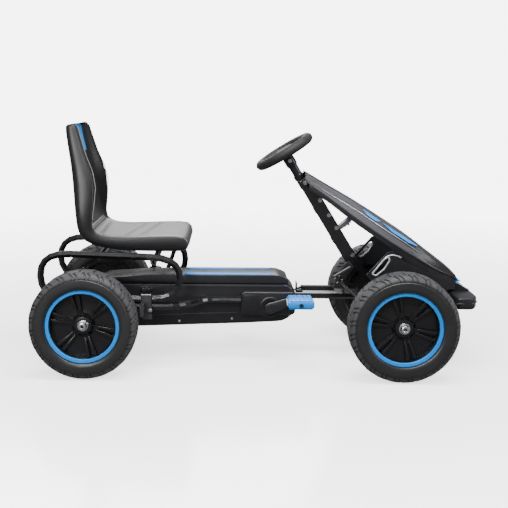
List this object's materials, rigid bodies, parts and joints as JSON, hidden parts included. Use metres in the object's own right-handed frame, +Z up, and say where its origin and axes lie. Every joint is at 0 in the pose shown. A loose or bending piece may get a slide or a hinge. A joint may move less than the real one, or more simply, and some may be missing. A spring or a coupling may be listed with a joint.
{
  "type": "pedal go kart",
  "caption": "Child's four-wheeled pedal go kart with a sliding bucket seat, chain drive, tie-rod steering and a hand brake.",
  "frame": {"origin": "on the floor, half way along and half way across the kart", "axes": "+X forward, +Y to the driver's left, +Z up"},
  "size_m": [1.128, 0.541, 0.627],
  "materials": {
    "black_paint": "satin powder coat",
    "black_plastic": "satin moulded",
    "seat_plastic": "satin blow moulded",
    "rubber": "matte foam rubber",
    "blue_plastic": "semi gloss",
    "plated_steel": "zinc plated",
    "dark_steel": "dark coated"
  },
  "bodies": {
    "chassis": {"main_beam": "black_paint", "rear_frame": "black_paint", "axle_bearing_left": "black_paint", "axle_bearing_right": "black_paint", "front_axle_beam": "black_paint", "steering_post": "black_paint", "shaft_bush_top": "dark_steel", "shaft_bush_bottom": "dark_steel", "fairing_brace": "black_paint", "fairing_liner": "black_plastic", "fairing": "black_plastic", "nose_panel": "black_plastic", "side_pod_left": "black_plastic", "side_pod_right": "black_plastic", "front_bumper": "black_plastic", "chain_case_left": "black_plastic", "chain_case_right": "black_plastic", "chain_case_lid": "black_plastic", "crank_cover_left": "black_plastic", "crank_cover_right": "black_plastic", "crank_bracket": "black_paint", "drive_chain": "dark_steel"},
    "rear_axle_set": {"rear_axle": "plated_steel", "driven_sprocket": "plated_steel", "rear_right_tyre": "rubber", "rear_right_rim": "black_plastic", "rear_right_ring": "blue_plastic", "rear_right_nut": "plated_steel", "rear_left_nut": "plated_steel"},
    "rear_left_wheel": {"rear_left_tyre": "rubber", "rear_left_rim": "black_plastic", "rear_left_ring": "blue_plastic"},
    "left_knuckle": {"knuckle_left": "dark_steel", "front_left_nut": "plated_steel"},
    "right_knuckle": {"knuckle_right": "dark_steel", "front_right_nut": "plated_steel"},
    "front_left_wheel": {"front_left_tyre": "rubber", "front_left_rim": "black_plastic", "front_left_ring": "blue_plastic"},
    "front_right_wheel": {"front_right_tyre": "rubber", "front_right_rim": "black_plastic", "front_right_ring": "blue_plastic"},
    "left_tie_rod": {"tie_rod_left": "plated_steel"},
    "right_tie_rod": {"tie_rod_right": "plated_steel"},
    "steering": {"steering_shaft": "dark_steel", "steering_wheel": "black_plastic", "steering_sleeve": "black_plastic"},
    "crank_set": {"crank": "plated_steel", "drive_sprocket": "plated_steel"},
    "right_pedal": {"pedal_right": "blue_plastic"},
    "left_pedal": {"pedal_left": "blue_plastic"},
    "seat": {"seat_shell": "seat_plastic", "seat_frame": "black_paint", "seat_clamp_left": "dark_steel", "seat_clamp_right": "dark_steel"},
    "left_clamp_knob": {"clamp_knob_left": "black_plastic"},
    "right_clamp_knob": {"clamp_knob_right": "black_plastic"},
    "brake": {"brake_shaft": "dark_steel", "brake_lever": "plated_steel"}
  },
  "joints": [
    {"name": "rear_axle_spin", "type": "hinge", "parent": "chassis", "child": "rear_axle_set", "pos_m": [-0.429, 0, 0.135], "axis": [0, 1, 0], "continuous": true},
    {"name": "rear_left_wheel_spin", "type": "hinge", "parent": "chassis", "child": "rear_left_wheel", "pos_m": [-0.429, 0.225, 0.135], "axis": [0, 1, 0], "continuous": true},
    {"name": "crank_spin", "type": "hinge", "parent": "chassis", "child": "crank_set", "pos_m": [0.04, 0, 0.147], "axis": [0, 1, 0], "continuous": true},
    {"name": "right_pedal_spin", "type": "hinge", "parent": "crank_set", "child": "right_pedal", "pos_m": [0.11405, -0.1316, 0.17395], "axis": [0, 1, 0], "continuous": true},
    {"name": "left_pedal_spin", "type": "hinge", "parent": "crank_set", "child": "left_pedal", "pos_m": [-0.03405, 0.1316, 0.12005], "axis": [0, 1, 0], "continuous": true},
    {"name": "steering_turn", "type": "hinge", "parent": "chassis", "child": "steering", "pos_m": [0.075, 0, 0.5505], "axis": [-0.5225, 0, 0.8526], "range_deg": [-30, 30]},
    {"name": "left_knuckle_turn", "type": "hinge", "parent": "chassis", "child": "left_knuckle", "pos_m": [0.359, 0.168, 0.135], "axis": [0, 0, 1], "range_deg": [-24.6, 24.6]},
    {"name": "right_knuckle_turn", "type": "hinge", "parent": "chassis", "child": "right_knuckle", "pos_m": [0.359, -0.168, 0.135], "axis": [0, 0, 1], "range_deg": [-24.6, 24.6]},
    {"name": "front_left_wheel_spin", "type": "hinge", "parent": "left_knuckle", "child": "front_left_wheel", "pos_m": [0.359, 0.229, 0.135], "axis": [0, 1, 0], "continuous": true},
    {"name": "front_right_wheel_spin", "type": "hinge", "parent": "right_knuckle", "child": "front_right_wheel", "pos_m": [0.359, -0.229, 0.135], "axis": [0, 1, 0], "continuous": true},
    {"name": "left_tie_rod_swing", "type": "hinge", "parent": "left_knuckle", "child": "left_tie_rod", "pos_m": [0.299, 0.168, 0.149], "axis": [0, 0, 1], "range_deg": [-24.6, 24.6]},
    {"name": "right_tie_rod_swing", "type": "hinge", "parent": "right_knuckle", "child": "right_tie_rod", "pos_m": [0.299, -0.168, 0.149], "axis": [0, 0, 1], "range_deg": [-24.6, 24.6]},
    {"name": "seat_slide", "type": "slide", "parent": "chassis", "child": "seat", "axis": [1, 0, 0], "range_m": [-0.025, 0.025]},
    {"name": "left_clamp_knob_turn", "type": "hinge", "parent": "seat", "child": "left_clamp_knob", "pos_m": [-0.279, 0.147, 0.207], "axis": [0, 0, 1], "range_deg": [0, 360]},
    {"name": "right_clamp_knob_turn", "type": "hinge", "parent": "seat", "child": "right_clamp_knob", "pos_m": [-0.279, -0.147, 0.207], "axis": [0, 0, 1], "range_deg": [0, 360]},
    {"name": "brake_turn", "type": "hinge", "parent": "chassis", "child": "brake", "pos_m": [-0.269, 0, 0.1425], "axis": [0, 1, 0], "range_deg": [-12, 0]}
  ],
  "couplings": [
    {"joint": "left_knuckle_turn", "follows": "steering_turn", "ratio": 0.82},
    {"joint": "right_knuckle_turn", "follows": "steering_turn", "ratio": 0.82},
    {"joint": "left_tie_rod_swing", "follows": "steering_turn", "ratio": -0.82},
    {"joint": "right_tie_rod_swing", "follows": "steering_turn", "ratio": -0.82},
    {"joint": "crank_spin", "follows": "rear_axle_spin", "ratio": 0.77778}
  ]
}
